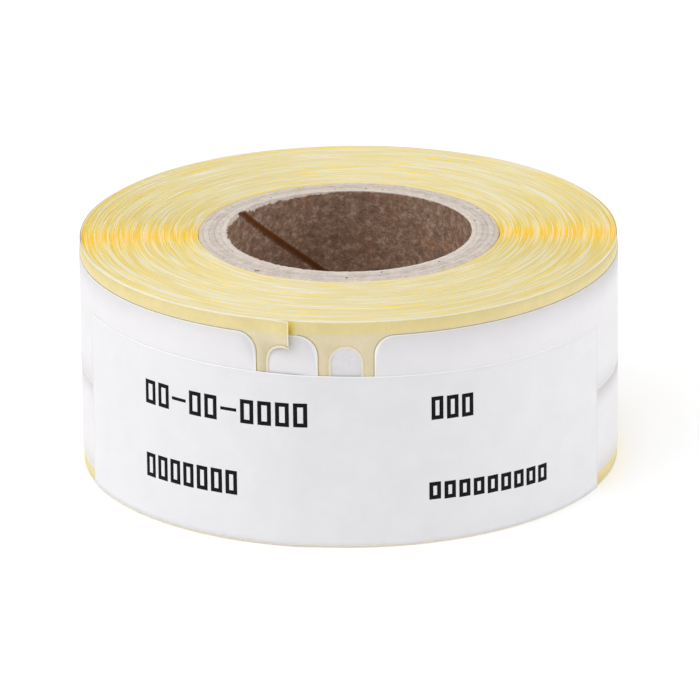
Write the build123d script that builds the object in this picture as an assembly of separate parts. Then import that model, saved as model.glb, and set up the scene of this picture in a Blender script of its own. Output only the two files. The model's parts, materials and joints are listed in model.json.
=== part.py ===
from build123d import *
import math
import os

# A roll of small die-cut self-adhesive labels, wound label side out on a spiral-laid cardboard core.
# The closing seal, a plain white label, holds the free end of the web down on the front.
#
# Frame: the origin is on the bore axis in the bottom face, +Z runs up the bore, and the seal faces -Y.
# Angles are degrees anticlockwise seen from above, from +X. "From the front" angles start at -Y instead.
# Distances along the web are millimetres from its free end inwards, so 0 is the cut edge outside.

# Driving dimensions, in millimetres and degrees
ROLL_WIDTH = 24.2
ROLL_RADIUS = 27.74
BORE_RADIUS = 12.7
PLY_THICKNESS = {
    "core_inner_ply": 0.45,
    "core_second_ply": 0.6,
    "core_middle_ply": 0.6,
    "core_fourth_ply": 0.6,
    "core_outer_ply": 0.55,
}

TURN_PITCH = 0.1342
LINER_THICKNESS = 0.055
ADHESIVE_THICKNESS = 0.018
LABEL_THICKNESS = 0.0432

ROW_COUNT = 220
ROW_PITCH = 55.67
LABEL_LENGTH = 50.0
LABEL_HEIGHT = 12.0
EDGE_MARGIN = 1.65
CORNER_RADIUS = 2.0
DIE_CUT_WIDTH = 0.1
SLOT_WIDTH = 3.05
SLOT_HEIGHT = 18.46
TAIL_TO_SLOT_CENTRE = 0.66
SINGLE_ROWS = 6
SLOTTED_ROWS = 10

FREE_END_ANGLE = -12.6
HINGE_ANGLE = -72.5
HINGE_GAP = 0.1
TURN_OVERLAP = 2.0

SEAL_LEFT_ANGLE = -71.0
SEAL_RIGHT_ANGLE = 65.3
SEAL_THICKNESS = 0.08
SEAL_CLEARANCE = 0.022
SEAL_TOP = (18.8, 17.9)
SEAL_BOTTOM = (0.3, 0.02)

# How far cutting shapes reach past what they cut
CUTTER_REACH = 1.0
SLOT_BAND_MARGIN = 0.01
SEAL_CUT_SPREAD = 1.02

# Values worked out from them
FRONT = -90.0
CORE_RADIUS = BORE_RADIUS + sum(PLY_THICKNESS.values())
LABEL_BASE = LINER_THICKNESS + ADHESIVE_THICKNESS
LABEL_FACE = LABEL_BASE + LABEL_THICKNESS
CENTRE_OFFSET = TURN_PITCH / 4
FIRST_RADIUS = ROLL_RADIUS - CENTRE_OFFSET - LABEL_FACE
LABEL_GAP = ROW_PITCH - LABEL_LENGTH
FIRST_LABEL_START = TAIL_TO_SLOT_CENTRE + LABEL_GAP / 2
WEB_LENGTH = TAIL_TO_SLOT_CENTRE + ROW_COUNT * ROW_PITCH
LABEL_TOP = ROLL_WIDTH - EDGE_MARGIN
DIE_CUT_HEIGHT = LABEL_TOP - LABEL_HEIGHT
FREE_END_LENGTH = math.radians(FREE_END_ANGLE - HINGE_ANGLE) * (FIRST_RADIUS + LINER_THICKNESS / 2)
OUTER_TURN_END = FREE_END_LENGTH + TURN_OVERLAP + 2 * math.pi * FIRST_RADIUS


def on_circle(centre, radius, angle):
    """The point at an angle on a circle about centre."""
    return (
        centre[0] + radius * math.cos(math.radians(angle)),
        centre[1] + radius * math.sin(math.radians(angle)),
    )


def half_turn(number):
    """Centre, liner radius and outer end angle of one half turn, counted inwards from the free end.

    The web is a spiral of half circles whose centres lie a quarter pitch either side of the bore axis
    in turn, so it has the same pitch everywhere and no corner where two half turns meet.
    """
    side = 1 if number % 2 == 0 else -1
    centre = on_circle((0, 0), side * CENTRE_OFFSET, FRONT + FREE_END_ANGLE)
    radius = FIRST_RADIUS - number * TURN_PITCH / 2
    return centre, radius, FRONT + FREE_END_ANGLE - 180 * number


def half_turn_length(number):
    """Length of one half turn along the middle of the liner."""
    return math.pi * (half_turn(number)[1] + LINER_THICKNESS / 2)


def locate(distance):
    """The half turn and the angle that a distance along the web falls on."""
    number = 0
    while distance > half_turn_length(number):
        distance -= half_turn_length(number)
        number += 1
    _, radius, end_angle = half_turn(number)
    return number, end_angle - math.degrees(distance / (radius + LINER_THICKNESS / 2))


def web_band(start, end, inner, outer, bottom, top):
    """A curved strip of the web between two distances, with its radial limits counted from the liner."""
    first, first_angle = locate(start)
    last, last_angle = locate(end)
    edges = []
    for number in range(first, last + 1):
        centre, radius, end_angle = half_turn(number)
        high = first_angle if number == first else end_angle
        low = last_angle if number == last else end_angle - 180
        for offset in (inner, outer):
            edges.append(CenterArc(centre, radius + offset, low, high - low))
    for number, angle in ((first, first_angle), (last, last_angle)):
        centre, radius, _ = half_turn(number)
        ends = [on_circle(centre, radius + offset, angle) for offset in (inner, outer)]
        edges.append(Line(*ends))
    return Pos(0, 0, bottom) * extrude(make_face(edges), amount=top - bottom)


def web_plane(distance, height):
    """A plane square to the web: its X runs along the web towards the core end, its Y is up."""
    number, angle = locate(distance)
    centre, radius, _ = half_turn(number)
    point = on_circle(centre, radius, angle)
    outwards = (math.cos(math.radians(angle)), math.sin(math.radians(angle)), 0)
    along = (outwards[1], -outwards[0], 0)
    return Plane(origin=(*point, height), x_dir=along, z_dir=(-outwards[0], -outwards[1], 0))


def corner_cutter(distance, height, along, upwards):
    """What rounding takes off one corner of a label: along and upwards point into the label."""
    spare, radius = CUTTER_REACH, CORNER_RADIUS
    outline = [
        Line((-spare, -spare), (radius, -spare)),
        Line((radius, -spare), (radius, 0)),
        CenterArc((radius, radius), radius, 180, 90),
        Line((0, radius), (-spare, radius)),
        Line((-spare, radius), (-spare, -spare)),
    ]
    face = make_face(outline)
    if along * upwards < 0:
        face = mirror(face, Plane.YZ)
    if upwards < 0:
        face = Rot(0, 0, 180) * face
    return extrude(web_plane(distance, height) * face, amount=CUTTER_REACH, both=True)


def die_cut_piece(row, bottom, top, rounded_height, upwards):
    """One label or strip of a row. In the outer rows its two outer corners are rounded."""
    start = FIRST_LABEL_START + row * ROW_PITCH
    end = start + LABEL_LENGTH
    piece = web_band(start, end, LABEL_BASE, LABEL_FACE, bottom, top)
    if row >= SINGLE_ROWS:
        return piece
    return piece - [
        corner_cutter(start, rounded_height, 1, upwards),
        corner_cutter(end, rounded_height, -1, upwards),
    ]


def label(row):
    """The upper die-cut label of a row."""
    return die_cut_piece(row, DIE_CUT_HEIGHT + DIE_CUT_WIDTH / 2, LABEL_TOP, LABEL_TOP, -1)


def strip(row):
    """The narrower strip below the label of a row."""
    return die_cut_piece(row, EDGE_MARGIN, DIE_CUT_HEIGHT - DIE_CUT_WIDTH / 2, EDGE_MARGIN, 1)


def slot_cutter(row):
    """The long hole with round ends through the liner, in the gap before a row."""
    distance = TAIL_TO_SLOT_CENTRE + row * ROW_PITCH
    half = SLOT_WIDTH / 2 + SLOT_BAND_MARGIN
    start, end = distance - half, distance + half
    band = web_band(start, end, -ADHESIVE_THICKNESS, LABEL_BASE, EDGE_MARGIN, LABEL_TOP)
    outline = web_plane(distance, ROLL_WIDTH / 2) * SlotOverall(SLOT_HEIGHT, SLOT_WIDTH, rotation=90)
    return band & extrude(outline, amount=CUTTER_REACH, both=True)


def liner(start, end, slotted_rows):
    """A stretch of the liner over the full width of the roll, with the slots of some rows."""
    band = web_band(start, end, 0, LINER_THICKNESS, 0, ROLL_WIDTH)
    return band - [slot_cutter(row) for row in slotted_rows]


def core_ply(inner_radius, thickness):
    """One ply of the core: a tube as long as the roll is wide."""
    ring = Circle(inner_radius + thickness) - Circle(inner_radius)
    return extrude(ring, amount=ROLL_WIDTH)


def seal_label():
    """The closing seal, stuck on a little askew: its top and bottom edges are cut by slanting planes."""
    radius = FIRST_RADIUS + LABEL_FACE + SEAL_CLEARANCE
    centre = half_turn(0)[0]
    low, high = FRONT + SEAL_LEFT_ANGLE, FRONT + SEAL_RIGHT_ANGLE
    edges = [
        CenterArc(centre, radius, low, high - low),
        CenterArc(centre, radius + SEAL_THICKNESS, low, high - low),
    ]
    for angle in (low, high):
        ends = [on_circle(centre, r, angle) for r in (radius, radius + SEAL_THICKNESS)]
        edges.append(Line(*ends))
    sheet = extrude(make_face(edges), amount=ROLL_WIDTH)
    left, right = (on_circle(centre, radius, angle)[0] for angle in (low, high))
    sides = Polygon(
        (left, SEAL_BOTTOM[0]),
        (right, SEAL_BOTTOM[1]),
        (right, SEAL_TOP[1]),
        (left, SEAL_TOP[0]),
        align=None,
    )
    spread = scale(sides, (SEAL_CUT_SPREAD, 1, 1))
    return sheet & extrude(Plane.XZ * spread, amount=2 * ROLL_RADIUS)


def save(name, solids):
    """Write one node: a single solid, or a group of separate ones."""
    pieces = [solid for shape in solids for solid in shape.solids()]
    export_step(pieces[0] if len(pieces) == 1 else Compound(children=pieces), f"parts/{name}.step")


os.makedirs("parts", exist_ok=True)

# Core, from the bore outwards
inner_radius = BORE_RADIUS
for name, thickness in PLY_THICKNESS.items():
    save(name, [core_ply(inner_radius, thickness)])
    inner_radius += thickness

# Liner: one long strip in three stretches, the free end in front of the hinge line, the turn behind
# it, and all the turns inside that. Slots are cut where they can be seen as the roll is opened.
save("liner_free_end", [liner(0, FREE_END_LENGTH, [0])])
save("liner_outer_turn", [liner(FREE_END_LENGTH + HINGE_GAP, OUTER_TURN_END, range(1, SLOTTED_ROWS))])
save("liner_inner_turns", [liner(OUTER_TURN_END, WEB_LENGTH, range(1, SLOTTED_ROWS))])

# Labels and strips: the outer two turns one by one, and the rows inside them as two groups
for row in range(SINGLE_ROWS):
    save(f"label_row_{row + 1}", [label(row)])
    save(f"strip_row_{row + 1}", [strip(row)])
inner_rows = range(SINGLE_ROWS, ROW_COUNT)
save("inner_labels", [label(row) for row in inner_rows])
save("inner_strips", [strip(row) for row in inner_rows])

save("seal_label", [seal_label()])

print("hinge point", on_circle(half_turn(0)[0], FIRST_RADIUS + LABEL_FACE, FRONT + HINGE_ANGLE))
print("half turns", locate(WEB_LENGTH)[0] + 1, "web length", WEB_LENGTH)
print("gap between core and web", half_turn(locate(WEB_LENGTH)[0])[1] - CORE_RADIUS)
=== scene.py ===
import json
import math

import bpy
import numpy as np
from mathutils import Matrix, Vector, noise


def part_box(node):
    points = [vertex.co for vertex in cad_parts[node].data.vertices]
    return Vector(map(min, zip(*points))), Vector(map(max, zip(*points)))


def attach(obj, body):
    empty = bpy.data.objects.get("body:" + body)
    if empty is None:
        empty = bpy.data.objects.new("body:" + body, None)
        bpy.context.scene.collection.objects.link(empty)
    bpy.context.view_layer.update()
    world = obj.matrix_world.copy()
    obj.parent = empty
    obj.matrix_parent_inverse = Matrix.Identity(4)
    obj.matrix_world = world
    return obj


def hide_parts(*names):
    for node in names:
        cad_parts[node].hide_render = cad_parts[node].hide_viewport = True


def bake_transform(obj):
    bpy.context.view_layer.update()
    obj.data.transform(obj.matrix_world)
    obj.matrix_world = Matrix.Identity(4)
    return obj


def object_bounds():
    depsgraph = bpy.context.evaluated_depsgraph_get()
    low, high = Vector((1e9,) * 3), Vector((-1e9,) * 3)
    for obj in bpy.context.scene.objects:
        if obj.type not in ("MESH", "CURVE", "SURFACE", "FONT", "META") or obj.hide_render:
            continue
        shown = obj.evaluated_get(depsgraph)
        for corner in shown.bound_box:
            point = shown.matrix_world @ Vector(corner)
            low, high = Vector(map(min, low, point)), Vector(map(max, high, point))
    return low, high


# A roll of die-cut labels. Sizes here are millimetres and degrees unless a name says otherwise, and
# meshes are scaled to metres as they are made. Angles "from the front" start at -Y and grow towards +X.
# Distances along the web run from its cut free end inwards.

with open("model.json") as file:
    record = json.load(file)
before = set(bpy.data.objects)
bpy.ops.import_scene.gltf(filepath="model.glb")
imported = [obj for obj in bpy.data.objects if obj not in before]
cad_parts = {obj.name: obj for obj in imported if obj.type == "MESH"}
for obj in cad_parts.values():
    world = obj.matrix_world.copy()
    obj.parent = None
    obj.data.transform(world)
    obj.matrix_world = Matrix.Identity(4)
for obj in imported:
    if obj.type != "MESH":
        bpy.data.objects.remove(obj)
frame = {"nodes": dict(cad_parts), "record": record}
cad_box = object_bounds()
record = frame["record"]
MM = 0.001


def box_mm(node):
    """A CAD node's lowest and highest corners in millimetres."""
    low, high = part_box(node)
    return low / MM, high / MM


# Sizes read from the frame
BORE_RADIUS = next(m for m in record["mounts"] if m["name"] == "core_bore")["dims"]["r_mm"]
WIDTH = box_mm("liner_outer_turn")[1].z
PLIES = ["core_inner_ply", "core_second_ply", "core_middle_ply", "core_fourth_ply", "core_outer_ply"]
PLY_RADII = [BORE_RADIUS] + [box_mm(ply)[1].x for ply in PLIES]
LABEL_BOTTOM, LABEL_TOP = box_mm("label_row_2")[0].z, box_mm("label_row_2")[1].z
STRIP_BOTTOM, STRIP_TOP = box_mm("strip_row_2")[0].z, box_mm("strip_row_2")[1].z

# How the web is wound, as in the CAD model
FRONT = -90.0
FREE_END_ANGLE = -12.6
ROLL_RADIUS = 27.74
TURN_PITCH = 0.1342
LINER_THICKNESS = 0.055
LABEL_FACE = 0.1162
ROW_COUNT = 220
ROW_PITCH = 55.67
LABEL_LENGTH = 50.0
CORNER_RADIUS = 2.0
SLOT_WIDTH = 3.05
SLOT_HEIGHT = 18.46
TAIL_TO_SLOT_CENTRE = 0.66
SLOTTED_ROWS = 10
SINGLE_ROWS = 6
CENTRE_OFFSET = TURN_PITCH / 4
FIRST_RADIUS = ROLL_RADIUS - CENTRE_OFFSET - LABEL_FACE
FIRST_LABEL_START = TAIL_TO_SLOT_CENTRE + (ROW_PITCH - LABEL_LENGTH) / 2
SLOT_CENTRES = TAIL_TO_SLOT_CENTRE + ROW_PITCH * np.arange(SLOTTED_ROWS)
WEB_LENGTH = TAIL_TO_SLOT_CENTRE + ROW_COUNT * ROW_PITCH
OUTER_TURN_LENGTH = 2 * math.pi * FIRST_RADIUS
TAIL = math.radians(FRONT + FREE_END_ANGLE)

# The spiral is made of half circles about two centres, enough of them for the whole web. Lengths are
# measured along the liner's middle.
HALF_TURN_COUNT = 184
HALF_TURN_RADIUS = FIRST_RADIUS - np.arange(HALF_TURN_COUNT) * TURN_PITCH / 2
MIDDLE_RADIUS = HALF_TURN_RADIUS + LINER_THICKNESS / 2
HALF_TURN_START = np.concatenate([[0], np.cumsum(math.pi * MIDDLE_RADIUS)[:-1]])

# How the web strays. Each strand of noise gives its amount, how quickly it changes around the roll and
# from turn to turn, and a seed. The outermost turns are held by the seal and stray less.
SHIFT_STRANDS = ((0.07, 1.0, 0.22, 0.0), (0.06, 2.6, 0.9, 20.0), (0.035, 3.6, 2.4, 40.0))
LEAN_STRANDS = ((0.04, 1.5, 0.3, 60.0), (0.012, 2.2, 1.7, 80.0))
NOISE_GAIN = 1.6
SHIFT_LIMIT = 0.15
TIGHT_TURNS = 3
TIGHT_SHARE = 0.3
SLACK = 0.05
LOOSE_SLACK = 0.11


# ---------- The web's geometry ----------

def smooth_step(value):
    """0 below 0, 1 above 1 and smooth between."""
    value = np.clip(value, 0, 1)
    return value * value * (3 - 2 * value)


def half_turn_of(distance):
    """Which half turn each distance lies on, and how far round the axis it is from the free end."""
    number = np.clip(np.searchsorted(HALF_TURN_START, distance, side="right") - 1, 0, None)
    turned = (distance - HALF_TURN_START[number]) / MIDDLE_RADIUS[number]
    return number, math.pi * number + turned


def web_points(distance, offset, height):
    """Points of the wound web: offset is counted outwards from the liner's inner face."""
    distance, offset, height = np.broadcast_arrays(distance, offset, height)
    number, turned = half_turn_of(distance)
    side = np.where(number % 2 == 0, CENTRE_OFFSET, -CENTRE_OFFSET)
    radius = HALF_TURN_RADIUS[number] + offset
    x = side * math.cos(TAIL) + radius * np.cos(TAIL - turned)
    y = side * math.sin(TAIL) + radius * np.sin(TAIL - turned)
    return np.stack([x, y, height], -1)


def distance_at(angle):
    """Distance along the outermost turn of an angle from the front. It is negative past the free end."""
    return np.radians(FREE_END_ANGLE - angle) * MIDDLE_RADIUS[0]


def turn_noise(turned, around, across, seed):
    """Noise that varies around the roll and from turn to turn, about -1 to 1."""
    points = (
        Vector((around * math.cos(angle) + seed, around * math.sin(angle), across * angle / (2 * math.pi)))
        for angle in turned
    )
    return np.array([noise.noise(point) for point in points]) * NOISE_GAIN


def strand_sum(turned, strands):
    """Several strands of turn_noise, each times its amount, added up."""
    return sum(amount * turn_noise(turned, *settings) for amount, *settings in strands)


def web_wander(distance):
    """How the wound web strays: its shift along the axis, how far its margins lean out, and its slack.

    The slack is how far its slit edges stay inside the roll's ends.
    """
    turned = half_turn_of(distance)[1]
    looseness = smooth_step(turned / (2 * math.pi) / TIGHT_TURNS)
    share = TIGHT_SHARE + (1 - TIGHT_SHARE) * looseness
    shift = share * np.clip(strand_sum(turned, SHIFT_STRANDS), -SHIFT_LIMIT, SHIFT_LIMIT)
    lean = share * strand_sum(turned, LEAN_STRANDS)
    return shift, lean, SLACK + LOOSE_SLACK * looseness


# ---------- Mesh building ----------

def thick_sheet(inner, outer, kept=None, closed=False):
    """Vertices, quads and which quads are cut edges of a closed sheet between two grids of points.

    The grids are shaped (columns, levels, 3). kept says which cells are there; the rest are holes.
    A closed sheet joins its last column to its first.
    """
    columns, levels = inner.shape[:2]
    if kept is None:
        kept = np.ones((columns if closed else columns - 1, levels - 1), bool)
    near = np.arange(columns * levels).reshape(columns, levels)
    if closed:
        near = np.concatenate([near, near[:1]])
    far = near + columns * levels
    i, j = np.nonzero(kept)
    faces = [
        np.stack([near[i, j], near[i + 1, j], near[i + 1, j + 1], near[i, j + 1]], 1),
        np.stack([far[i, j], far[i, j + 1], far[i + 1, j + 1], far[i + 1, j]], 1),
    ]
    around = np.pad(kept, 1)
    if closed:
        around[0], around[-1] = around[-2], around[1]
    sides = (
        (around[:-2, 1:-1], lambda a, b: ((a, b), (a, b + 1))),
        (around[2:, 1:-1], lambda a, b: ((a + 1, b + 1), (a + 1, b))),
        (around[1:-1, :-2], lambda a, b: ((a + 1, b), (a, b))),
        (around[1:-1, 2:], lambda a, b: ((a, b + 1), (a + 1, b + 1))),
    )
    edges = []
    for neighbour, ends in sides:
        first, second = ends(*np.nonzero(kept & ~neighbour))
        edges.append(np.stack([near[first], near[second], far[second], far[first]], 1))
    vertices = np.concatenate([inner.reshape(-1, 3), outer.reshape(-1, 3)])
    quads = np.concatenate(faces + edges)
    is_edge = np.arange(len(quads)) >= 2 * len(i)
    return vertices, quads, is_edge


def make_piece(name, sheets, materials, attributes=None):
    """One object from one or more sheets, in metres. The second material is for the cut edges."""
    vertices, quads, is_edge = [], [], []
    for points, faces, edge in sheets:
        quads.append(faces + sum(len(v) for v in vertices))
        vertices.append(points)
        is_edge.append(edge)
    vertices, quads, is_edge = np.concatenate(vertices), np.concatenate(quads), np.concatenate(is_edge)
    used = np.unique(quads)
    renumber = np.zeros(len(vertices), int)
    renumber[used] = np.arange(len(used))
    vertices, quads = vertices[used] * MM, renumber[quads]
    a, b, c, d = (vertices[quads[:, n]] for n in range(4))
    volume = (np.cross(a, b) * c).sum() + (np.cross(a, c) * d).sum()
    if volume < 0:
        quads = quads[:, ::-1]
    mesh = bpy.data.meshes.new(name)
    mesh.from_pydata(vertices.tolist(), [], quads.tolist())
    for material in materials:
        mesh.materials.append(material)
    mesh.polygons.foreach_set("use_smooth", ~is_edge)
    if len(materials) > 1:
        mesh.polygons.foreach_set("material_index", is_edge.astype(np.int32))
    for key, values in (attributes or {}).items():
        layer = mesh.attributes.new(key, "FLOAT", "POINT")
        layer.data.foreach_set("value", np.asarray(values, np.float32)[used])
    mesh.update()
    piece = bpy.data.objects.new(name, mesh)
    bpy.context.scene.collection.objects.link(piece)
    return piece


# ---------- Materials ----------

def srgb(red, green, blue):
    """A display colour of 0 to 255 as the linear colour that nodes take."""
    values = [c / 255 for c in (red, green, blue)]
    return tuple(c / 12.92 if c <= 0.04045 else ((c + 0.055) / 1.055) ** 2.4 for c in values) + (1.0,)


def grey(level):
    """A linear grey, which may be above 1 to brighten."""
    return (level, level, level, 1.0)


class Nodes:
    """A material's node tree, with short calls for the nodes that the materials here share."""

    def __init__(self, name, roughness, specular=0.35):
        self.material = bpy.data.materials.new(name)
        self.material.use_nodes = True
        self.tree = self.material.node_tree
        self.shader = self.tree.nodes["Principled BSDF"]
        self.shader.inputs["Roughness"].default_value = roughness
        self.shader.inputs["Specular IOR Level"].default_value = specular
        self.place = self.add("ShaderNodeTexCoord").outputs["Object"]

    def add(self, kind, **settings):
        """A new node, with its settings."""
        node = self.tree.nodes.new(kind)
        for key, value in settings.items():
            setattr(node, key, value)
        return node

    def link(self, source, target):
        """Joins one socket to another."""
        self.tree.links.new(source, target)

    def stretched(self, scale):
        """The object's own coordinates in millimetres, stretched per axis."""
        mapping = self.add("ShaderNodeMapping")
        mapping.inputs["Scale"].default_value = [s / MM for s in scale]
        self.link(self.place, mapping.inputs["Vector"])
        return mapping.outputs["Vector"]

    def noise(self, scale, detail=4.0, roughness=0.55, distortion=0.0):
        """Noise whose cells are 1/scale millimetres; scale is one number or one per axis."""
        scale = scale if isinstance(scale, tuple) else (scale,) * 3
        node = self.add("ShaderNodeTexNoise")
        node.inputs["Scale"].default_value = 1.0
        node.inputs["Detail"].default_value = detail
        node.inputs["Roughness"].default_value = roughness
        node.inputs["Distortion"].default_value = distortion
        self.link(self.stretched(scale), node.inputs["Vector"])
        return node.outputs["Fac"]

    def maths(self, operation, *values):
        """One operation on sockets and plain numbers."""
        node = self.add("ShaderNodeMath", operation=operation)
        for socket, value in zip(node.inputs, values):
            if isinstance(value, (int, float)):
                socket.default_value = value
            else:
                self.link(value, socket)
        return node.outputs[0]

    def attribute(self, name):
        """A number that the mesh gives at each vertex."""
        return self.add("ShaderNodeAttribute", attribute_name=name).outputs["Fac"]

    def ramp(self, value, *stops):
        """Colours at positions of 0 to 1."""
        node = self.add("ShaderNodeValToRGB")
        elements = node.color_ramp.elements
        while len(elements) < len(stops):
            elements.new(0.5)
        for element, (position, colour) in zip(elements, stops):
            element.position = position
            element.color = colour
        self.link(value, node.inputs["Fac"])
        return node.outputs["Color"]

    def mix(self, factor, first, second, blend="MIX"):
        """Two colours mixed; each value is a socket or a plain value."""
        node = self.add("ShaderNodeMix", data_type="RGBA", blend_type=blend)
        for value, socket in ((factor, node.inputs[0]), (first, node.inputs[6]), (second, node.inputs[7])):
            if isinstance(value, (int, float, tuple)):
                socket.default_value = value
            else:
                self.link(value, socket)
        return node.outputs[2]

    def clouds(self, low, high, *noise_settings):
        """Two colours, or two levels of grey, in soft clouds of noise."""
        return self.ramp(self.noise(*noise_settings), (0.3, low), (0.7, high))

    def fibred(self, colour, darkest, *noise_settings):
        """A colour with fine fibres over it, which darken it down to a share of itself."""
        return self.mix(1.0, colour, self.clouds(grey(darkest), grey(1.0), *noise_settings), "MULTIPLY")

    def colour(self, value):
        """Gives the shader its colour."""
        self.link(value, self.shader.inputs["Base Color"])

    def bump(self, height, depth_mm, strength=1.0):
        """Relief whose full range of height stands for a depth in millimetres."""
        previous = self.shader.inputs["Normal"].links
        node = self.add("ShaderNodeBump")
        node.inputs["Strength"].default_value = strength
        node.inputs["Distance"].default_value = depth_mm * MM
        self.link(height, node.inputs["Height"])
        if previous:
            self.link(previous[0].from_socket, node.inputs["Normal"])
        self.link(node.outputs["Normal"], self.shader.inputs["Normal"])


# Painted glow: an emission of this strength and colour stands in for light bounced between the turns.
PAINTED_GLOW_STRENGTH = 0.38
GOLDEN_LIGHT = srgb(240, 214, 62)
FLOOR_GLOW = 0.24
# Labels deep in the roll are painted golden, with a painted glow, further than this above and below the
# roll's middle.
GOLDEN_FROM_MIDDLE = SLOT_HEIGHT / 2 + 0.08
# How much lighter each ply of the core is
PLY_TONES = (0, 4, -5, 3, -2)


def open_liner_colour(nodes):
    """The liner where it lies open: golden in its margins, paler where a white label lies under it, with a
    painted highlight along its slit edge and the free end's cut edge.
    """
    over_label = nodes.clouds(srgb(224, 210, 172), srgb(231, 218, 184), 0.6, 6, 0.62)
    golden = nodes.clouds(srgb(230, 212, 148), srgb(238, 221, 160), 0.5, 6, 0.62)
    depth = nodes.attribute("depth")
    # Ramps take 0 to 1, so the depth is halved: the margin ends 1.1 to 1.6 mm below the slit edge.
    in_margin = nodes.ramp(nodes.maths("DIVIDE", depth, 2.0), (0.55, grey(1.0)), (0.78, grey(0.0)))
    # Painted highlight: near the slit edge and the free end's cut edge the liner is painted pale.
    from_edge = nodes.maths("MINIMUM", depth, nodes.attribute("from_tail"))
    rim = nodes.ramp(from_edge, (0.04, grey(1.0)), (0.12, grey(0.0)))
    base = nodes.mix(rim, nodes.mix(in_margin, over_label, golden), srgb(255, 250, 232))
    return nodes.fibred(base, 0.95, 6.0, 3)


def liner_material():
    """Yellow glassine: tan where it lies open. Between turns it is painted golden and given a painted glow,
    which stand in for light soaking into the glassine and bouncing between the turns.
    """
    nodes = Nodes("glassine_liner", roughness=0.42, specular=0.35)
    depth = nodes.attribute("depth")
    # Painted light: between turns the colour runs from a pale painted highlight at the slit edge to golden
    # deeper down, standing for bounced light.
    inside = nodes.ramp(
        depth,
        (0.0, srgb(250, 244, 224)),
        (0.035, srgb(247, 237, 196)),
        (0.08, srgb(238, 215, 102)),
        (0.2, srgb(230, 202, 74)),
        (0.9, srgb(224, 196, 74)),
    )
    nodes.colour(nodes.mix(nodes.attribute("open_face"), inside, open_liner_colour(nodes)))
    # Painted glow deep between the turns, away from the die cut.
    glow = nodes.ramp(depth, (0.045, grey(0.0)), (0.14, GOLDEN_LIGHT), (1.0, GOLDEN_LIGHT))
    off_die_cut = nodes.ramp(nodes.maths("DIVIDE", depth, WIDTH / 2), (0.6, grey(1.0)), (0.7, grey(0.0)))
    lit = nodes.maths("MULTIPLY", nodes.attribute("buried"), off_die_cut)
    nodes.link(nodes.mix(lit, grey(0.0), glow), nodes.shader.inputs["Emission Color"])
    nodes.shader.inputs["Emission Strength"].default_value = PAINTED_GLOW_STRENGTH
    nodes.bump(nodes.noise(5.0, 4), 0.006)
    return nodes.material


def wound_label_material():
    """Labels deep in the roll: white paper, with its edges painted golden and given a painted glow, which
    stand in for the golden light between the turns.
    """
    nodes = Nodes("label_paper_in_roll", roughness=0.6, specular=0.2)
    height = nodes.add("ShaderNodeSeparateXYZ")
    nodes.link(nodes.place, height.inputs[0])
    from_middle = nodes.maths("ABSOLUTE", nodes.maths("SUBTRACT", height.outputs["Z"], WIDTH / 2 * MM))
    at_edge = nodes.maths("GREATER_THAN", from_middle, GOLDEN_FROM_MIDDLE * MM)
    paper = nodes.clouds(srgb(222, 220, 222), srgb(230, 228, 230), 2.0, 4)
    # Painted light: golden colour and glow near the label's edges.
    nodes.colour(nodes.mix(at_edge, paper, srgb(236, 210, 110)))
    nodes.link(nodes.mix(at_edge, grey(0.0), GOLDEN_LIGHT), nodes.shader.inputs["Emission Color"])
    nodes.shader.inputs["Emission Strength"].default_value = PAINTED_GLOW_STRENGTH
    return nodes.material


def liner_edge_material():
    """The slit edge of the liner: dry paper fibre in pale and golden streaks, with a painted highlight on
    the outer turns' edges.
    """
    nodes = Nodes("glassine_cut_edge", roughness=0.75, specular=0.2)
    streaks = nodes.ramp(
        nodes.attribute("streak"),
        (0.16, srgb(240, 210, 92)),
        (0.45, srgb(243, 224, 136)),
        (0.7, srgb(248, 239, 196)),
        (0.95, srgb(254, 252, 244)),
    )
    nodes.colour(nodes.fibred(streaks, 0.93, 4.0, 4))
    return nodes.material


def cut_shadow_material():
    """A painted shadow line round a label, along the die cut: a dark colour that stands in for the shadow of
    the label's edge.
    """
    nodes = Nodes("die_cut_line", roughness=0.7, specular=0.2)
    nodes.colour(nodes.clouds(srgb(172, 154, 112), srgb(196, 178, 134), 1.5, 4))
    return nodes.material


def slot_highlight_material():
    """A painted highlight round a punched slot: paler paper colour that stands in for light caught by the
    slot's cut edge, fading into the liner.
    """
    nodes = Nodes("slot_rim", roughness=0.5, specular=0.3)
    liner = nodes.fibred(nodes.clouds(srgb(226, 211, 174), srgb(232, 219, 186), 0.6, 6, 0.62), 0.95, 6.0, 3)
    strength = nodes.ramp(nodes.attribute("fade"), (0.15, grey(0.0)), (0.9, grey(0.75)))
    nodes.colour(nodes.mix(strength, liner, srgb(244, 239, 226)))
    return nodes.material


def label_material(name, low, high, roughness):
    """Coated white paper: almost even, with a trace of fibre, a soft sheen and a painted highlight along its
    cut rim.
    """
    nodes = Nodes(name, roughness=roughness, specular=0.3)
    paper = nodes.fibred(nodes.clouds(low, high, 0.35, 5), 0.98, 5.0, 4, 0.7)
    # Painted highlight: the paper is painted whiter near its cut edges, where they catch the light.
    rim = nodes.ramp(nodes.attribute("rim"), (0.05, grey(1.0)), (0.13, grey(0.0)))
    nodes.colour(nodes.mix(rim, paper, srgb(253, 252, 251)))
    nodes.bump(nodes.noise(4.0, 5, 0.65), 0.004)
    nodes.bump(nodes.noise(0.25, 2), 0.006)
    return nodes.material


def paper_edge_material():
    """The cut edge of white paper."""
    nodes = Nodes("paper_cut_edge", roughness=0.8, specular=0.15)
    nodes.colour(nodes.clouds(srgb(246, 244, 240), srgb(254, 253, 251), 3.0, 3))
    return nodes.material


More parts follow.
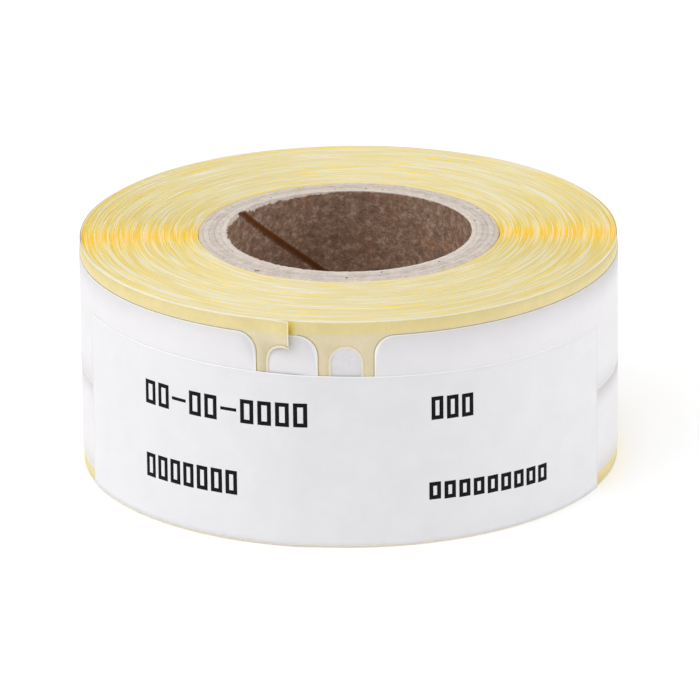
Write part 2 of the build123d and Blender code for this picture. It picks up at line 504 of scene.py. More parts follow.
def kraft_material():
    """Brown kraft inside the bore: mottled and fibrous, with a dark seam and a pale torn rim."""
    nodes = Nodes("kraft_ply", roughness=0.85, specular=0.12)
    mottle = nodes.ramp(
        nodes.noise((1.1, 1.1, 1.3), 9, 0.82, 0.3),
        (0.37, srgb(124, 100, 87)),
        (0.5, srgb(158, 128, 108)),
        (0.62, srgb(201, 173, 152)),
    )
    rust = nodes.ramp(nodes.noise(0.6, 5, 0.65, 0.6), (0.56, grey(0.0)), (0.72, grey(0.8)))
    warm = nodes.mix(rust, mottle, srgb(168, 112, 76))
    fibres = nodes.ramp(nodes.noise((4.0, 4.0, 6.0), 6, 0.8, 0.3), (0.34, grey(0.66)), (0.64, grey(1.18)))
    wall = nodes.mix(1.0, warm, fibres, "MULTIPLY")
    seam = nodes.mix(nodes.attribute("seam"), wall, srgb(106, 58, 20))
    pale = nodes.clouds(srgb(220, 207, 195), srgb(244, 234, 224), 3.0, 4)
    nodes.colour(nodes.mix(nodes.attribute("torn"), seam, pale))
    nodes.bump(nodes.noise((3.0, 3.0, 6.0), 5, 0.7, 0.5), 0.05)
    return nodes.material


def board_material(number):
    """Grey-beige core board, a little different from ply to ply, with fibres and dark specks, and painted
    shade in the groove by the web.
    """
    nodes = Nodes(f"core_board_{number}", roughness=0.9, specular=0.12)
    tone = PLY_TONES[number]
    low, high = srgb(210 + tone, 197 + tone, 186 + tone), srgb(237 + tone, 225 + tone, 215 + tone)
    base = nodes.clouds(low, high, 1.1, 5, 0.65)
    fibres = nodes.ramp(nodes.noise(7.0, 4, 0.7), (0.34, grey(0.8)), (0.62, grey(1.06)))
    board = nodes.mix(1.0, base, fibres, "MULTIPLY")
    specks = nodes.ramp(nodes.noise(1.9, 2, 0.4), (0.72, grey(0.0)), (0.745, grey(1.0)))
    speckled = nodes.mix(specks, board, srgb(92, 70, 52))
    # Painted shade: the outermost ply's wall in the groove is painted dark orange, standing for shade and
    # the web's golden light there.
    nodes.colour(nodes.mix(nodes.attribute("groove"), speckled, srgb(196, 138, 52)))
    nodes.bump(nodes.noise(5.0, 5, 0.75), 0.06)
    return nodes.material


def ink_material():
    """Black thermal print: not quite even."""
    nodes = Nodes("print_black", roughness=0.7, specular=0.12)
    nodes.colour(nodes.ramp(nodes.noise(4.0, 4), (0.3, srgb(9, 7, 10)), (0.75, srgb(26, 23, 27))))
    return nodes.material


def floor_material():
    """A white floor, lit a little from itself so that it is as white as the photo's background."""
    nodes = Nodes("studio_floor", roughness=0.6, specular=0.2)
    nodes.shader.inputs["Emission Color"].default_value = grey(1.0)
    nodes.shader.inputs["Emission Strength"].default_value = FLOOR_GLOW
    nodes.colour(nodes.ramp(nodes.noise(0.02, 2), (0.2, grey(0.94)), (0.8, grey(0.955))))
    return nodes.material


LINER = liner_material()
LINER_EDGE = liner_edge_material()
CUT_SHADOW = cut_shadow_material()
SLOT_HIGHLIGHT = slot_highlight_material()
LABEL_IN_ROLL = wound_label_material()
LABEL = label_material("label_paper", srgb(233, 231, 233), srgb(236, 234, 236), 0.45)
SEAL = label_material("seal_paper", srgb(230, 230, 233), srgb(234, 234, 237), 0.4)
PAPER_EDGE = paper_edge_material()
KRAFT = kraft_material()
INK = ink_material()


# ---------- Placing pieces ----------


def in_slot(nodes):
    """A piece stands for some CAD nodes, which are hidden, or for none."""
    if nodes:
        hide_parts(*nodes)


def on_roll(piece, slot, *nodes):
    """A piece that rides on the roll."""
    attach(piece, "roll")
    in_slot(nodes)


def across_hinge(piece, slot, *nodes):
    """A piece of paper at the free end's hinge line, with its placing baked into its mesh."""
    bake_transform(piece)
    in_slot(nodes)


def in_row(piece, row, slot, *nodes):
    """A piece of one row of the web: the first row is placed as across the hinge, the others ride on the
    roll.
    """
    place = across_hinge if row == 0 else on_roll
    place(piece, slot, *nodes)


# ---------- Liner ----------

COLUMNS_PER_HALF_TURN = 76
SLOT_COLUMNS = 13
# Even columns keep this far from a slot, which has its own.
SLOT_CLEARANCE = 0.25
# Extra columns of the second turn, under the free end's edge: from, to and how many
COLUMNS_UNDER_TAIL = (-1.2, 0.9, 11)
# Columns this close to a sheet's ends keep the shading even where two sheets meet.
END_STEP = 0.05
# The lower slit edges stay clear of whatever the roll stands on.
STANDING_GAP = 0.07
# The second turn is painted golden just under the free end's edge, as painted light that comes through the
# lifted free end. Behind the unwound length, which the swing of the free end can bare, it also has a painted
# glow.
PATCH_BEFORE, PATCH_BEHIND, PATCH_FADE = 0.7, 0.3, 0.5
UNWOUND_LENGTH = 36.0
BURYING_LENGTH = 6.0
STREAK_STRANDS = ((0.55, 2.2, 0.45, 100.0), (0.6, 4.0, 1.1, 120.0), (0.4, 6.5, 2.6, 140.0))
STREAK_MEAN = 0.52
STREAK_GAIN = 0.72
# The curl of the free end's upper corner
TAIL_LIFT = 0.5
CURL_LENGTH = 3.2
CURL_HEIGHT = 5.5
CURL_FADE = 3.5
CURL_POWER = 1.5
# The free end's piece of liner runs on this far behind the hinge line.
HINGE_ANGLE = -72.5
BEHIND_HINGE = 12.0
FREE_WRAP_END = distance_at(HINGE_ANGLE) + BEHIND_HINGE


def liner_columns(start, end):
    """Distances of the liner's columns: even steps round each turn, closer at each slot and at the tail."""
    steps = np.arange(COLUMNS_PER_HALF_TURN) / COLUMNS_PER_HALF_TURN
    lengths = math.pi * MIDDLE_RADIUS
    even = (HALF_TURN_START[:, None] + lengths[:, None] * steps).ravel()
    half = SLOT_WIDTH / 2
    near_slot = (np.abs(even[:, None] - SLOT_CENTRES) < half + SLOT_CLEARANCE).any(1)
    across = half * np.cos(np.linspace(math.pi, 0, SLOT_COLUMNS))
    slots = (SLOT_CENTRES[:, None] + across).ravel()
    under_tail = OUTER_TURN_LENGTH + np.linspace(*COLUMNS_UNDER_TAIL)
    ends = [start, start + END_STEP, end - END_STEP, end]
    columns = np.concatenate([ends, even[~near_slot], slots, under_tail])
    return np.unique(columns[(columns >= start) & (columns <= end)])


def liner_streaks(distance):
    """How pale the slit edge is, about 0 to 1: long streaks that change from turn to turn."""
    turned = half_turn_of(distance)[1]
    # The first turn's edge is painted pale all round as a painted highlight, and the second's less and less.
    outermost = smooth_step(2.0 - turned / (2 * math.pi))
    return np.clip(STREAK_MEAN + STREAK_GAIN * strand_sum(turned, STREAK_STRANDS) + outermost, 0, 1)


def liner_attributes(columns, depth):
    """What the liner's material reads at each vertex of a sheet's inner and outer faces."""
    level_count = depth.shape[1]
    behind_tail = columns - OUTER_TURN_LENGTH
    # Painted light: a golden patch under the free end's edge.
    painted_light_at_tail = smooth_step((behind_tail + PATCH_BEFORE) / PATCH_BEFORE)
    painted_light_at_tail = painted_light_at_tail * (1 - smooth_step((behind_tail - PATCH_BEHIND) / PATCH_FADE))
    buried = smooth_step((behind_tail - UNWOUND_LENGTH) / BURYING_LENGTH)
    open_outer = 1 - np.maximum(painted_light_at_tail, buried)
    attributes = {"depth": np.tile(depth.ravel(), 2)}
    for key, values in (("from_tail", columns), ("buried", buried), ("streak", liner_streaks(columns))):
        attributes[key] = np.tile(np.repeat(values, level_count), 2)
    attributes["open_face"] = np.repeat(np.concatenate([0 * open_outer, open_outer]), level_count)
    return attributes


def liner_sheet(start, end, lift=None):
    """A stretch of the liner with its slots, and its attributes. lift says how far points curl outwards."""
    columns = liner_columns(start, end)
    shift, lean, slack = web_wander(columns)
    half, straight = SLOT_WIDTH / 2, SLOT_HEIGHT / 2 - SLOT_WIDTH / 2
    from_centre = np.abs(columns[:, None] - SLOT_CENTRES).min(1)
    rise = np.sqrt(np.clip(half**2 - from_centre**2, 0, None))
    middle = WIDTH / 2
    bottom, top = slack + STANDING_GAP, WIDTH - slack
    heights = [bottom, STRIP_BOTTOM, middle - straight - rise, middle + straight + rise, LABEL_TOP, top]
    if lift:
        heights.insert(3, WIDTH - CURL_HEIGHT)
    levels = np.stack([height + 0 * shift for height in heights], 1)
    depth = np.minimum(levels - levels[:, :1], levels[:, -1:] - levels)
    raised = lean[:, None] * (depth == 0)
    levels = levels + shift[:, None]
    kept = np.ones((len(columns) - 1, len(heights) - 1), bool)
    between = (columns[1:] + columns[:-1]) / 2
    kept[:, 2:-2] = (np.abs(between[:, None] - SLOT_CENTRES) > half).all(1)[:, None]
    if lift:
        raised = raised + lift(columns[:, None], levels)
    inner = web_points(columns[:, None], raised, levels)
    outer = web_points(columns[:, None], raised + LINER_THICKNESS, levels)
    return thick_sheet(inner, outer, kept), liner_attributes(columns, depth)


def tail_lift(distance, height):
    """How far the free end curls off the roll, at its upper corner."""
    along = smooth_step((CURL_LENGTH - distance) / CURL_LENGTH) ** CURL_POWER
    upwards = smooth_step((height - (WIDTH - CURL_HEIGHT)) / CURL_FADE)
    return TAIL_LIFT * along * upwards


def add_liner():
    """The liner in two pieces: the free end with some of the turn behind it, and the rest of the web."""
    sheet, attributes = liner_sheet(0.0, FREE_WRAP_END, tail_lift)
    free_wrap = make_piece("free_wrap", [sheet], [LINER, LINER_EDGE], attributes)
    across_hinge(free_wrap, "glassine_liner", "liner_free_end")
    sheet, attributes = liner_sheet(FREE_WRAP_END, WEB_LENGTH)
    wound_liner = make_piece("wound_liner", [sheet], [LINER, LINER_EDGE], attributes)
    on_roll(wound_liner, "glassine_liner", "liner_outer_turn", "liner_inner_turns")


add_liner()


# ---------- Labels and strips, and the painted shadow lines along their die cuts ------

CORNER_POINTS = 9
LABEL_COLUMNS = 60
LABEL_LEVELS = 5
# A label's even columns start this far from its ends.
EVEN_INSET = 2.5
# The labels don't quite touch the liner.
LABEL_GAP = 0.002
CUT_SHADOW_WIDTH = 0.09
SLOT_HIGHLIGHT_WIDTH = 0.27
RIBBON_RISES = (0.001, 0.004)
OUTER_TURN_ROWS = 4
# The last row's line stops this far short of the free end's edge.
LINE_STOP = 0.2


def label_sheet(row, bottom, top, rounded_top):
    """One label or strip with two rounded corners, following the web's wander."""
    start = FIRST_LABEL_START + row * ROW_PITCH
    end = start + LABEL_LENGTH
    corner = CORNER_RADIUS * (1 - np.cos(np.linspace(0, math.pi / 2, CORNER_POINTS)))
    even = np.linspace(start + EVEN_INSET, end - EVEN_INSET, LABEL_COLUMNS)
    columns = np.unique(np.concatenate([start + corner, end - corner, even]))
    inset = np.clip(CORNER_RADIUS - np.minimum(columns - start, end - columns), 0, CORNER_RADIUS)
    cut = CORNER_RADIUS - np.sqrt(CORNER_RADIUS**2 - inset**2)
    low = np.full(len(columns), bottom) + (0 if rounded_top else cut)
    high = np.full(len(columns), top) - (cut if rounded_top else 0)
    share = np.linspace(0, 1, LABEL_LEVELS)
    levels = low[:, None] + (high - low)[:, None] * share + web_wander(columns)[0][:, None]
    inner = web_points(columns[:, None], LINER_THICKNESS + LABEL_GAP, levels)
    outer = web_points(columns[:, None], LABEL_FACE, levels)
    from_end = np.minimum(columns - start, end - columns)[:, None]
    from_side = (high - low)[:, None] * (1 - share if rounded_top else share)
    # Each vertex's distance from the nearest edge places the paper's painted highlight.
    rim = np.tile(np.minimum(from_end, from_side).ravel(), 2)
    return thick_sheet(inner, outer), {"rim": rim}


def add_row(row):
    """The label and the strip of one row, on the free end or on the roll."""
    parts = (
        ("label", LABEL_BOTTOM, LABEL_TOP, True),
        ("strip", STRIP_BOTTOM, STRIP_TOP, False),
    )
    for kind, bottom, top, rounded_top in parts:
        node = f"{kind}_row_{row + 1}"
        sheet, rim = label_sheet(row, bottom, top, rounded_top)
        in_row(make_piece(f"paper_{node}", [sheet], [LABEL, PAPER_EDGE], rim), row, "label_paper", node)


def ribbon(path, width, closed, lifted):
    """A very thin strip on the liner's face, just outside a path of distances and heights, and its fade."""
    if closed:
        along = np.roll(path, -1, 0) - np.roll(path, 1, 0)
    else:
        along = np.gradient(path, axis=0)
    outwards = np.stack([along[:, 1], -along[:, 0]], 1) / np.linalg.norm(along, axis=1)[:, None]
    rails = np.stack([path, path + outwards * width], 1)
    shift = web_wander(path[:, 0])[0][:, None]
    base = LINER_THICKNESS + (tail_lift(rails[..., 0], rails[..., 1]) if lifted else 0)
    faces = [web_points(rails[..., 0], base + rise, rails[..., 1] + shift) for rise in RIBBON_RISES]
    return thick_sheet(*faces, closed=closed), {"fade": np.tile([1.0, 0.0], 2 * len(path))}


def opened(path, kept):
    """A closed path cut open: the kept points, starting after the longest jump between them."""
    path = path[kept]
    jumps = np.linalg.norm(np.roll(path, -1, 0) - path, axis=1)
    return np.roll(path, -int(np.argmax(jumps)) - 1, 0)


def rounded_rectangle(left, right, bottom, top, radius):
    """Points anticlockwise round a rounded rectangle, close enough together to follow the roll."""
    path = []
    corners = ((right, bottom, -90), (right, top, 0), (left, top, 90), (left, bottom, 180))
    for x, y, turn in corners:
        centre_x = x - radius if x == right else x + radius
        centre_y = y - radius if y == top else y + radius
        for angle in np.radians(turn + np.linspace(0, 90, CORNER_POINTS)):
            path.append((centre_x + radius * math.cos(angle), centre_y + radius * math.sin(angle)))
    dense = []
    for (x0, y0), (x1, y1) in zip(path, path[1:] + path[:1]):
        count = max(1, math.ceil(math.hypot(x1 - x0, y1 - y0)))
        dense.extend((x0 + (x1 - x0) * n / count, y0 + (y1 - y0) * n / count) for n in range(count))
    return np.array(dense)


def add_cut_lines():
    """The painted shadow line round each label and the painted highlight round each slot of the outermost
    turn.
    """
    half = SLOT_WIDTH / 2
    slot_bottom, slot_top = (WIDTH - SLOT_HEIGHT) / 2, (WIDTH + SLOT_HEIGHT) / 2
    for row in range(OUTER_TURN_ROWS):
        first, whole = row == 0, row < OUTER_TURN_ROWS - 1
        start = FIRST_LABEL_START + row * ROW_PITCH
        path = rounded_rectangle(start, start + LABEL_LENGTH, STRIP_BOTTOM, LABEL_TOP, CORNER_RADIUS)
        if not whole:
            path = opened(path, path[:, 0] < OUTER_TURN_LENGTH - LINE_STOP)
        sheet, fade = ribbon(path, CUT_SHADOW_WIDTH, whole, first)
        in_row(make_piece(f"cut_shadow_row_{row + 1}", [sheet], [CUT_SHADOW], fade), row, "glassine_liner")
        centre = SLOT_CENTRES[row]
        path = rounded_rectangle(centre - half, centre + half, slot_bottom, slot_top, half)
        if first:
            path = opened(path, path[:, 0] > 0)
        sheet, fade = ribbon(path, SLOT_HIGHLIGHT_WIDTH, not first, first)
        in_row(make_piece(f"slot_rim_{row + 1}", [sheet], [SLOT_HIGHLIGHT], fade), row, "glassine_liner")


for row in range(SINGLE_ROWS):
    add_row(row)
add_cut_lines()

for node in ("inner_labels", "inner_strips"):
    frame["nodes"][node].data.materials.clear()
    frame["nodes"][node].data.materials.append(LABEL_IN_ROLL)


# ---------- Closing seal and its print ----------

SEAL_LEFT, SEAL_RIGHT = -71.0, 65.3
SEAL_TOP_HEIGHTS = (18.8, 17.9)
SEAL_BOTTOM_HEIGHTS = (0.3, 0.12)
SEAL_GAP = 0.016
SEAL_THICKNESS = 0.08
SEAL_COLUMNS = 240
SEAL_LEVELS = 30
SEAL_BEVEL_HEIGHT = 0.12
SEAL_BEVEL_DEPTH = 0.07
# The seal steps down past the free end over this angle. It sinks a little into two gaps between labels, one
# on the free end itself and one on the turn below it. Its ripple's strands of noise give an amount, how
# quickly it changes around and upwards, and a seed.
STEP_ANGLE = 5.0
OWN_GAP, OWN_GAP_DIP = (-20.6, FREE_END_ANGLE), 0.01
NEXT_GAP, NEXT_GAP_DIP = (-7.2, 5.5), 0.02
DIP_FADE = 1.6
RIPPLE = 0.008
RIPPLE_STRANDS = ((1.0, 0.11, 0.13, 4.0), (0.5, 0.35, 0.3, 8.0))

# Print on the seal: plain placeholder boxes and dashes. Each block gives its left and right angles,
# the depth of its base line below the rim at both, its height and its pattern.
PRINT_BLOCKS = (
    (-47.9, -9.0, 11.61, 11.30, 2.55, "##-##-####"),
    (17.0, 26.4, 10.95, 11.15, 2.45, "###"),
    (-48.0, -24.4, 19.52, 19.21, 2.55, "#######"),
    (16.4, 45.6, 19.46, 20.22, 1.85, "#########"),
)
MARK_WIDTHS = {"#": 1.0, "-": 1.25}
MARK_GAP = 0.3
STROKE = 0.42
DASH_STROKE = 0.8 * STROKE
# A dash's height above the base line, as a share of the block's height
DASH_PLACE = 0.45
LONGEST_STEP = 0.25
INK_LIFT = 0.004
INK_THICKNESS = 0.006


def in_gap(angle, gap):
    """1 between a gap's two angles, fading to 0 at both."""
    return smooth_step((angle - gap[0]) / DIP_FADE) * smooth_step((gap[1] - angle) / DIP_FADE)


def seal_ripple(angle, height):
    """A slow unevenness of the seal's paper at one point, about -1 to 1."""
    return sum(
        amount * noise.noise(Vector((around * angle, upwards * height, seed)))
        for amount, around, upwards, seed in RIPPLE_STRANDS
    )


def seal_offset(angle, height):
    """The seal's inner face: it steps down past the free end and sinks a little over gaps and slots."""
    step = TURN_PITCH * smooth_step((angle - FREE_END_ANGLE) / STEP_ANGLE)
    dip = OWN_GAP_DIP * in_gap(angle, OWN_GAP)
    next_dip = NEXT_GAP_DIP * in_gap(angle, NEXT_GAP)
    ripple = np.array([seal_ripple(*point) for point in zip(angle.ravel(), height.ravel())])
    return LABEL_FACE + SEAL_GAP - step - dip - next_dip + RIPPLE * (1 + ripple.reshape(angle.shape))


def seal_edge_height(ends, angle):
    """Height of the seal's top or bottom edge: a straight cut, so it follows the sine of the angle."""
    left, right = (math.sin(math.radians(a)) for a in (SEAL_LEFT, SEAL_RIGHT))
    return ends[0] + (ends[1] - ends[0]) * (np.sin(np.radians(angle)) - left) / (right - left)


def on_seal(angle, height, offset):
    """Points on the seal, offset outwards from its inner face."""
    angle, height = np.broadcast_arrays(angle, height)
    return web_points(distance_at(angle), seal_offset(angle, height) + offset, height)


def seal_sheet():
    """The seal, a little bevelled along its upper edge, and each vertex's distance from that edge, which
    places the paper's painted highlight.
    """
    angles = np.linspace(SEAL_LEFT, SEAL_RIGHT, SEAL_COLUMNS)[:, None]
    low, high = (seal_edge_height(ends, angles) for ends in (SEAL_BOTTOM_HEIGHTS, SEAL_TOP_HEIGHTS))
    shares = np.append(np.linspace(0, 1, SEAL_LEVELS), 1 - SEAL_BEVEL_HEIGHT / SEAL_TOP_HEIGHTS[1])
    heights = low + (high - low) * np.sort(shares)
    bevel = SEAL_BEVEL_DEPTH * (np.arange(len(shares)) == len(shares) - 1)
    inner, outer = on_seal(angles, heights, 0.0), on_seal(angles, heights, SEAL_THICKNESS - bevel)
    return thick_sheet(inner, outer), {"rim": np.tile((high - heights).ravel(), 2)}


def print_cells(pattern):
    """Each mark's kind and its left and right edges, as shares of the block's width."""
    total = sum(MARK_WIDTHS[mark] + MARK_GAP for mark in pattern) - MARK_GAP
    cursor = 0.0
    for mark in pattern:
        yield mark, cursor / total, (cursor + MARK_WIDTHS[mark]) / total
        cursor += MARK_WIDTHS[mark] + MARK_GAP


def fine_steps(*edges):
    """The edges with points added between them, so that they follow the roll, and which spans each fills."""
    points, spans = [edges[0]], []
    for number, (low, high) in enumerate(zip(edges, edges[1:])):
        count = max(1, math.ceil((high - low) / LONGEST_STEP))
        points.extend(low + (high - low) * (n + 1) / count for n in range(count))
        spans.extend([number] * count)
    return np.array(points), np.array(spans)


def print_sheets():
    """Thin ink marks that lie on the seal."""
    per_degree = math.radians(1) * ROLL_RADIUS
    sheets = []
    for left, right, left_base, right_base, height, pattern in PRINT_BLOCKS:
        for mark, start, end in print_cells(pattern):
            base = WIDTH - (left_base + (right_base - left_base) * (start + end) / 2)
            x0, x1 = ((left + (right - left) * share) * per_degree for share in (start, end))
            if mark == "-":
                foot = base + DASH_PLACE * height
                columns, _ = fine_steps(x0, x1)
                rows, _ = fine_steps(foot, foot + DASH_STROKE)
                kept = None
            else:
                columns, column_span = fine_steps(x0, x0 + STROKE, x1 - STROKE, x1)
                rows, row_span = fine_steps(base, base + STROKE, base + height - STROKE, base + height)
                kept = ~((column_span[:, None] == 1) & (row_span == 1))
            angles = columns[:, None] / per_degree
            inner = on_seal(angles, rows, SEAL_THICKNESS + INK_LIFT)
            outer = on_seal(angles, rows, SEAL_THICKNESS + INK_LIFT + INK_THICKNESS)
            sheets.append(thick_sheet(inner, outer, kept))
    return sheets


def add_seal():
    """The seal and its print, placed as across the hinge."""
    sheet, rim = seal_sheet()
    across_hinge(make_piece("closing_seal", [sheet], [SEAL, PAPER_EDGE], rim), "seal_paper", "seal_label")
    across_hinge(make_piece("seal_print_marks", print_sheets(), [INK]), "seal_paper")


add_seal()


# ---------- Core ----------

OUTERMOST = len(PLIES) - 1
BORE_COLUMNS, PLY_COLUMNS = 1000, 480
BORE_LEVELS = 16
RIM_LEVELS, RIM_STEP = 15, 0.08
RADIAL_POINTS = 5
# The cut ends are rough. The outermost ply's rim falls, and it stands off the web by a narrow groove.
TOP_ROUGHNESS, BOTTOM_ROUGHNESS = 0.07, 0.02
ROUGH_SCALE = 1.3
RIM_FALL = 0.17
GROOVE_WIDTH = 0.1
GROOVE_DEPTH = 0.7
# The bore's seam: its twist is in degrees a millimetre, and it is cut back in a notch at the rim. Each
# line of its profile gives a place across it, as a share of its width, and how dark it is there.
SEAM_TOP_ANGLE = 150.5
SEAM_TWIST = 5.5
SEAM_WIDTH = 1.1
SEAM_PROFILE = ((-0.62, 0.0), (-0.34, 0.85), (0.0, 1.0), (0.34, 0.85), (0.62, 0.0))
SEAM_LEVELS = 140
SEAM_FROM_RIM, SEAM_FROM_FOOT = 0.12, 0.05
SEAM_LIFTS = (0.012, 0.006)
NOTCH_DEPTH, NOTCH_HEIGHT = 0.25, 0.5
# The notch is whole up to this share of its fade, which is in degrees to each side of the seam.
NOTCH_CORE, NOTCH_FADE = 0.4, 2.2
# The bore's rim is torn, most of all on the side at this angle from +X, and its cut end is pale. The tear
# has a depth all round and a further depth on that side, each a least depth and what raggedness adds.
TORN_SIDE = 185.0
TORN_DEPTHS = ((0.06, 0.16), (0.1, 0.5))
TORN_FADE = 0.1
SIDE_POWER = 0.6
RAGGED_SCALE = 26
CUT_END_TORN = 0.9
# The rim's burr, all round and on that side, and its wear at the back
BURRS = (0.1, 0.26)
WEAR, LEAST_WORN = 0.22, 0.4
WORN_HEIGHT = 0.4
BACK_FADE = 0.4
# How near a point has to be to count as on a surface or on a cut end
ON_WALL, ON_END = 0.01, 1e-6


def fbm(x, y, z, octaves=3):
    """Noise in layers, each finer and weaker than the last, about -1 to 1."""
    return sum(noise.noise(Vector((x, y, z)) * 2**n) / 2**n for n in range(octaves))


def torn_bore_wall(angle, radius, from_top):
    """The bore's wall near its rim: its radius after wear and tearing, and how far it is torn.

    At the back the rim is worn outwards, and elsewhere it has a burr inwards. At the seam it has a notch.
    """
    from_seam = (math.degrees(angle) - SEAM_TOP_ANGLE + 180) % 360 - 180
    off_seam = float(smooth_step(abs(from_seam) / NOTCH_FADE - NOTCH_CORE))
    at_side = max(0.0, math.cos(angle - math.radians(TORN_SIDE))) ** SIDE_POWER
    at_back = float(smooth_step(math.sin(angle) / BACK_FADE))
    ragged = 0.5 + 0.5 * fbm(math.cos(angle) * RAGGED_SCALE, math.sin(angle) * RAGGED_SCALE, 7.0, 4)
    all_round, more_at_side = (least + more * ragged for least, more in TORN_DEPTHS)
    torn_depth = all_round + more_at_side * at_side * off_seam
    burr = (BURRS[0] + BURRS[1] * at_side) * ragged * off_seam * (1 - at_back)
    worn = WEAR * (LEAST_WORN + (1 - LEAST_WORN) * ragged) * at_side * at_back
    radius += (worn - burr) * float(smooth_step(1 - from_top / WORN_HEIGHT))
    radius += NOTCH_DEPTH * (1 - off_seam) * float(smooth_step(1 - from_top / NOTCH_HEIGHT))
    return radius, float(smooth_step((torn_depth - from_top) / TORN_FADE + 0.5))


def core_point(number, angle, radius, z):
    """A point of a ply after roughening, and how far it is torn."""
    inner, outer = PLY_RADII[number], PLY_RADII[number + 1]
    cos, sin = math.cos(angle), math.sin(angle)
    from_top = WIDTH - z
    torn = 0.0
    if number == 0 and radius > inner + ON_WALL:
        torn = CUT_END_TORN
    elif number == 0:
        radius, torn = torn_bore_wall(angle, radius, from_top)
    if number == OUTERMOST and radius > outer - ON_WALL:
        radius -= GROOVE_WIDTH * float(smooth_step(1 - from_top / GROOVE_DEPTH))
    rough = 0.5 + 0.5 * fbm(cos * radius * ROUGH_SCALE, sin * radius * ROUGH_SCALE, 3.0 + number)
    if from_top < ON_END:
        z -= TOP_ROUGHNESS * rough
        if number == OUTERMOST:
            z -= RIM_FALL * float(smooth_step((radius - inner) / (outer - inner)))
    elif z < ON_END:
        z += BOTTOM_ROUGHNESS * rough
    return (radius * cos, radius * sin, z), torn


def core_ply(number):
    """One ply as a closed ring of profile points, with a rough cut top and bottom, and its attributes."""
    inner, outer = PLY_RADII[number], PLY_RADII[number + 1]
    if number == 0:
        columns = BORE_COLUMNS
        near_rim = WIDTH - np.arange(1, RIM_LEVELS + 1) * RIM_STEP
        heights = np.sort(np.concatenate([np.linspace(0, WIDTH, BORE_LEVELS), near_rim]))
    else:
        columns, heights = PLY_COLUMNS, np.array([0, WIDTH / 2, WIDTH - GROOVE_DEPTH, WIDTH])
    across = np.linspace(inner, outer, RADIAL_POINTS)
    profile = [(inner, z) for z in heights]
    profile += [(r, WIDTH) for r in across[1:]]
    profile += [(outer, z) for z in (WIDTH - GROOVE_DEPTH, WIDTH / 2, 0.0)]
    profile += [(r, 0.0) for r in across[-2:0:-1]]
    angles = np.linspace(0, 2 * math.pi, columns, endpoint=False)
    shaped = [core_point(number, angle, radius, z) for angle in angles for radius, z in profile]
    in_groove = [number == OUTERMOST and r == outer and 0 < z < WIDTH for r, z in profile]
    count = len(profile)
    i, j = (grid.ravel() for grid in np.meshgrid(np.arange(columns), np.arange(count), indexing="ij"))
    k, m = (i + 1) % columns, (j + 1) % count
    quads = np.stack([i * count + j, i * count + m, k * count + m, k * count + j], 1)
    attributes = {
        "torn": [torn for _, torn in shaped],
        "groove": np.tile(np.array(in_groove, float), columns),
        "seam": np.zeros(len(shaped)),
    }
    return (np.array([point for point, _ in shaped]), quads, np.zeros(len(quads), bool)), attributes


def bore_seam():
    """The open joint of the innermost ply: a dark strip down the bore's wall, soft along both sides."""
    heights = np.linspace(WIDTH - SEAM_FROM_RIM, SEAM_FROM_FOOT, SEAM_LEVELS)[:, None]
    middle = np.radians(SEAM_TOP_ANGLE - SEAM_TWIST * (WIDTH - heights))
    across, darkness = (np.array(values) for values in zip(*SEAM_PROFILE))
    angles = middle + across * SEAM_WIDTH / BORE_RADIUS
    levels = np.broadcast_to(heights, angles.shape)
    rings = []
    for radius in (BORE_RADIUS - lift for lift in SEAM_LIFTS):
        rings.append(np.stack([radius * np.cos(angles), radius * np.sin(angles), levels], -1))
    return thick_sheet(*rings), np.tile(darkness, 2 * len(heights))


def add_core():
    """The core's plies, and the seam in its bore."""
    for number, node in enumerate(PLIES):
        sheet, attributes = core_ply(number)
        material = KRAFT if number == 0 else board_material(number)
        piece = make_piece(f"shaped_{node}", [sheet], [material], attributes)
        on_roll(piece, "kraft_ply" if number == 0 else "core_board", node)
    sheet, darkness = bore_seam()
    piece = make_piece("bore_seam", [sheet], [KRAFT], {"seam": darkness, "torn": 0 * darkness})
    on_roll(piece, "kraft_ply")


add_core()


# ---------- Studio: floor, lights and camera ----------

FLOOR_HALF_SIZE_M = 3.0
WORLD_STRENGTH = 0.54
# Each light's name, place and size in metres, and power in watts
LIGHT_TARGET = (0, 0, 0.012)
LIGHTS = (
    ("top_light", (-0.2, -0.1, 0.56), 0.5, 1.1),
    ("left_light", (-0.52, -0.13, 0.3), 0.3, 0.78),
    ("right_light", (0.56, -0.04, 0.25), 0.3, 0.92),
)
VIEW_ELEVATION = 19.99
VIEW_ROLL_RADIANS = -0.011
VIEW_DISTANCE_RADII = 30.0
AIM_BELOW_RIM = 13.07
LENS = 414.6
SENSOR = 36.0
CLIP_START_M, CLIP_END_M = 0.01, 20.0


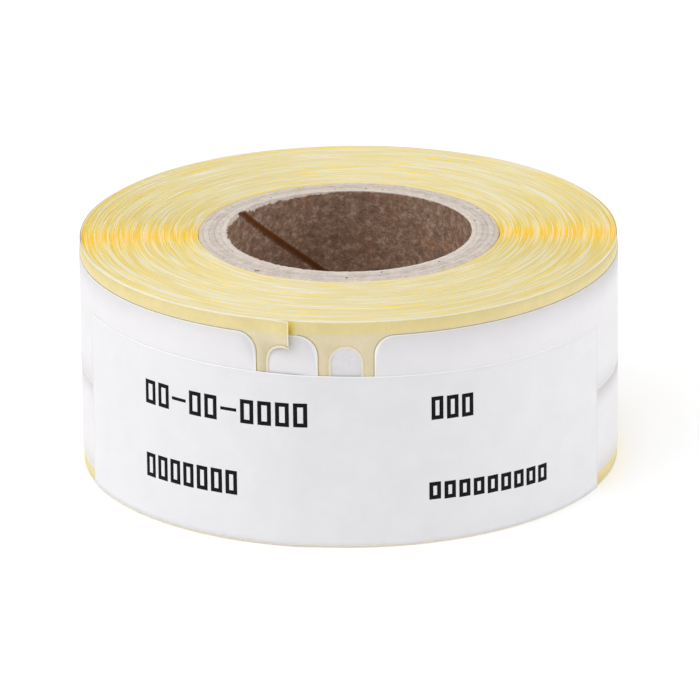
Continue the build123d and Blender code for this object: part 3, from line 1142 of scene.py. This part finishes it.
def add_floor():
    """A wide floor at the foot of the CAD model."""
    size = FLOOR_HALF_SIZE_M
    mesh = bpy.data.meshes.new("studio_floor")
    corners = [(-size, -size, 0), (size, -size, 0), (size, size, 0), (-size, size, 0)]
    mesh.from_pydata(corners, [], [(0, 1, 2, 3)])
    mesh.materials.append(floor_material())
    floor = bpy.data.objects.new("studio_floor", mesh)
    floor.location.z = cad_box[0].z
    bpy.context.scene.collection.objects.link(floor)


def add_area_light(name, location, size, power):
    """A square light that faces the roll's middle."""
    light = bpy.data.lights.new(name, "AREA")
    light.shape = "RECTANGLE"
    light.size = light.size_y = size
    light.energy = power
    lamp = bpy.data.objects.new(name, light)
    lamp.location = location
    lamp.rotation_euler = (Vector(LIGHT_TARGET) - Vector(location)).to_track_quat("-Z", "Y").to_euler()
    bpy.context.scene.collection.objects.link(lamp)


def add_world():
    """Even white light from all round."""
    world = bpy.data.worlds.new("studio")
    world.use_nodes = True
    background = world.node_tree.nodes["Background"]
    background.inputs["Color"].default_value = grey(1.0)
    background.inputs["Strength"].default_value = WORLD_STRENGTH
    bpy.context.scene.world = world


def add_camera():
    """A long lens from the front, about 20 degrees above the horizon."""
    elevation = math.radians(VIEW_ELEVATION)
    forward = Vector((0, math.cos(elevation), -math.sin(elevation)))
    up = Vector((0, math.sin(elevation), math.cos(elevation)))
    right = Vector((1, 0, 0))
    rolled_right = right * math.cos(VIEW_ROLL_RADIANS) + up * math.sin(VIEW_ROLL_RADIANS)
    rolled_up = up * math.cos(VIEW_ROLL_RADIANS) - right * math.sin(VIEW_ROLL_RADIANS)
    data = bpy.data.cameras.new("camera")
    data.lens, data.sensor_width = LENS, SENSOR
    data.clip_start, data.clip_end = CLIP_START_M, CLIP_END_M
    camera = bpy.data.objects.new("camera", data)
    aim = Vector((0, 0, (WIDTH - AIM_BELOW_RIM) * MM))
    turn = Matrix((rolled_right, rolled_up, -forward)).transposed()
    place = aim - forward * VIEW_DISTANCE_RADII * ROLL_RADIUS * MM
    camera.matrix_world = Matrix.Translation(place) @ turn.to_4x4()
    bpy.context.scene.collection.objects.link(camera)
    bpy.context.scene.camera = camera


add_floor()
add_world()
for light in LIGHTS:
    add_area_light(*light)
add_camera()
bpy.context.scene.view_settings.view_transform = "Standard"
